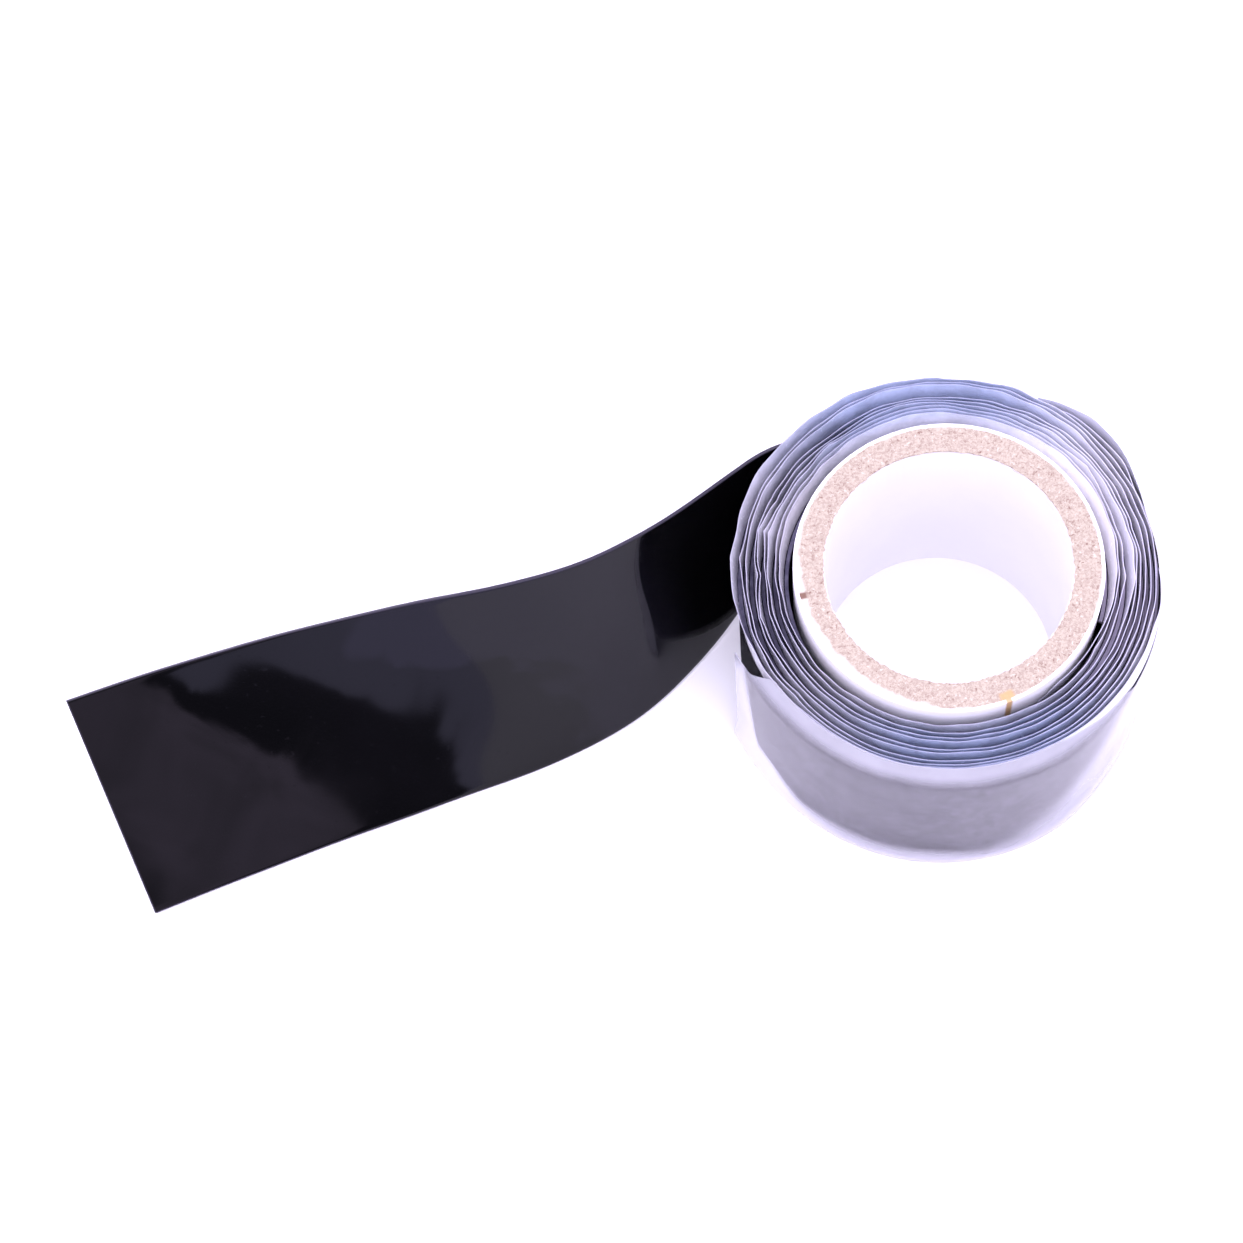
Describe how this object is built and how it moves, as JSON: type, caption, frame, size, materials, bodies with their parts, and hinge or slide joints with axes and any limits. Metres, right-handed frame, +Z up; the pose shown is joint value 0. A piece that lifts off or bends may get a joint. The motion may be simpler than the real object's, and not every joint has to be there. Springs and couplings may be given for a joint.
{
  "type": "tape roll",
  "caption": "Roll of black self-fusing repair tape on a paperboard core, with clear release film between the turns, a laid-out free end and the stripped film wrapped back round the roll.",
  "frame": {"origin": "centre of the core's lower end, on the core's axis, at the surface the roll stands on", "axes": "+Z up along the core's axis; seen from above the tape winds outwards counter-clockwise, and its free end runs towards -X"},
  "size_m": [0.1164, 0.0446, 0.0288],
  "materials": {
    "white_paper": "matt white paper",
    "paperboard": "raw speckled paperboard",
    "black_silicone": "smooth glossy black silicone",
    "release_film": "thin frosted clear release film"
  },
  "bodies": {
    "roll": {"core_inner_paper": "white_paper", "core_board": "paperboard", "core_outer_paper": "white_paper", "tape_wound": "black_silicone", "film_wound": "release_film", "film_tail": "release_film"},
    "tape_tail": {"tape_free_root": "black_silicone"},
    "tape_tip": {"tape_free_tip": "black_silicone"},
    "film_end": {"film_flap": "release_film"}
  },
  "joints": [
    {"name": "tape_tail_swing", "type": "hinge", "parent": "roll", "child": "tape_tail", "pos_m": [-0.01294, 0.01768, 0], "axis": [0, 0, 1], "range_deg": [-70, 0]},
    {"name": "tape_tip_bend", "type": "hinge", "parent": "tape_tail", "child": "tape_tip", "pos_m": [-0.05227, -0.00744, 0.00014], "axis": [-0.1259, 0.5894, 0.7979], "range_deg": [0, 60]},
    {"name": "film_end_lift", "type": "hinge", "parent": "roll", "child": "film_end", "pos_m": [-0.01124, -0.01946, 0], "axis": [0, 0, 1], "range_deg": [0, 90]}
  ]
}
